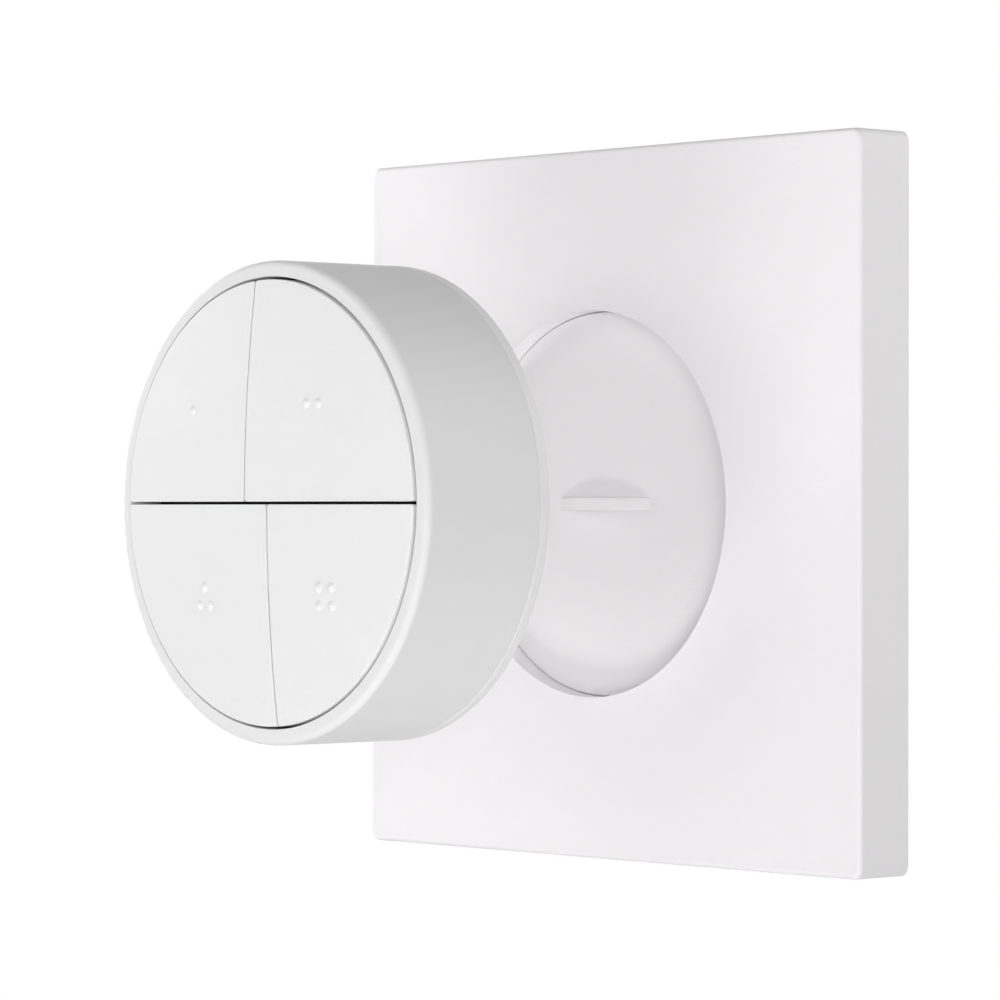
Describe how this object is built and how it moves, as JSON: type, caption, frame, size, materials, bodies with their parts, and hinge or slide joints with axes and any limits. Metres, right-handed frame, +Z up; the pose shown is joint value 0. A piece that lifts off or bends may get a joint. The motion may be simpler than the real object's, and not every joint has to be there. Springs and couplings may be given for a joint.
{
  "type": "smart scene button",
  "caption": "Square wall plate with a magnetic round dial pulled off it: a turning outer ring around a domed face split into four push buttons marked with raised dots.",
  "frame": {"origin": "centre of the wall plate's back face, which lies on the wall", "axes": "+Z up, -Y out of the wall towards the user, +X to the right as seen from the front; +Y is the wall face's outward normal"},
  "size_m": [0.08, 0.0577, 0.08],
  "materials": {
    "plate": "fine-grained matt white",
    "disc": "fine-grained matt white",
    "bracket": "plain matt, pale grey",
    "foam": "closed-cell foam tape with a paper liner",
    "steel": "zinc-plated steel sheet",
    "screw": "zinc-plated",
    "ring": "satin white, finer than the plate",
    "cap": "fine-grained matt white",
    "base": "matt white",
    "cover": "matt white",
    "frame": "matt black",
    "glide": "low-friction natural plastic",
    "rubber": "soft black",
    "cell": "bright steel can",
    "contact": "sprung sheet",
    "magnet": "nickel-plated",
    "ferrite": "bonded ferrite",
    "board": "green solder mask",
    "shield": "tinned sheet",
    "chip": "black moulded package",
    "ceramic": "white ceramic",
    "switch": "black moulded body",
    "plunger": "natural plastic"
  },
  "bodies": {
    "wall": {"wall_plate": "plate", "back_plate": "bracket", "mount_disc": "disc", "steel_disc": "steel", "disc_screws": "screw", "adhesive_strip_top": "foam", "adhesive_strip_bottom": "foam"},
    "dial": {"case_screws": "screw", "rear_base": "base", "button_frame": "frame", "glide_ring": "glide", "cover_seal": "rubber", "coin_cell": "cell", "contact_positive": "contact", "contact_negative": "contact", "holding_magnet_1": "magnet", "holding_magnet_2": "magnet", "holding_magnet_3": "magnet", "holding_magnet_4": "magnet", "main_board": "board", "shield_can": "shield", "hall_sensor_1": "chip", "hall_sensor_2": "chip", "antenna": "ceramic", "tact_switch_1": "switch", "tact_switch_2": "switch", "tact_switch_3": "switch", "tact_switch_4": "switch"},
    "ring": {"dial_ring": "ring", "magnet_ring": "ferrite"},
    "button_1": {"button_cap_1": "cap", "switch_plunger_1": "plunger"},
    "button_2": {"button_cap_2": "cap", "switch_plunger_2": "plunger"},
    "button_3": {"button_cap_3": "cap", "switch_plunger_3": "plunger"},
    "button_4": {"button_cap_4": "cap", "switch_plunger_4": "plunger"},
    "cover": {"battery_cover": "cover"}
  },
  "joints": [
    {"name": "dial_pull", "type": "slide", "parent": "wall", "child": "dial", "axis": [0, -1, 0], "range_m": [-0.0301, 0]},
    {"name": "ring_turn", "type": "hinge", "parent": "dial", "child": "ring", "pos_m": [0, -0.049, 0], "axis": [0, -1, 0], "continuous": true},
    {"name": "button_1_press", "type": "slide", "parent": "dial", "child": "button_1", "axis": [0, 1, 0], "range_m": [0, 0.0004], "stiffness_N_per_m": 800, "springref_m": -0.0003},
    {"name": "button_2_press", "type": "slide", "parent": "dial", "child": "button_2", "axis": [0, 1, 0], "range_m": [0, 0.0004], "stiffness_N_per_m": 800, "springref_m": -0.0003},
    {"name": "button_3_press", "type": "slide", "parent": "dial", "child": "button_3", "axis": [0, 1, 0], "range_m": [0, 0.0004], "stiffness_N_per_m": 800, "springref_m": -0.0003},
    {"name": "button_4_press", "type": "slide", "parent": "dial", "child": "button_4", "axis": [0, 1, 0], "range_m": [0, 0.0004], "stiffness_N_per_m": 800, "springref_m": -0.0003},
    {"name": "cover_twist", "type": "hinge", "parent": "dial", "child": "cover", "pos_m": [0, -0.039, 0], "axis": [0, 1, 0], "range_deg": [0, 30]}
  ]
}
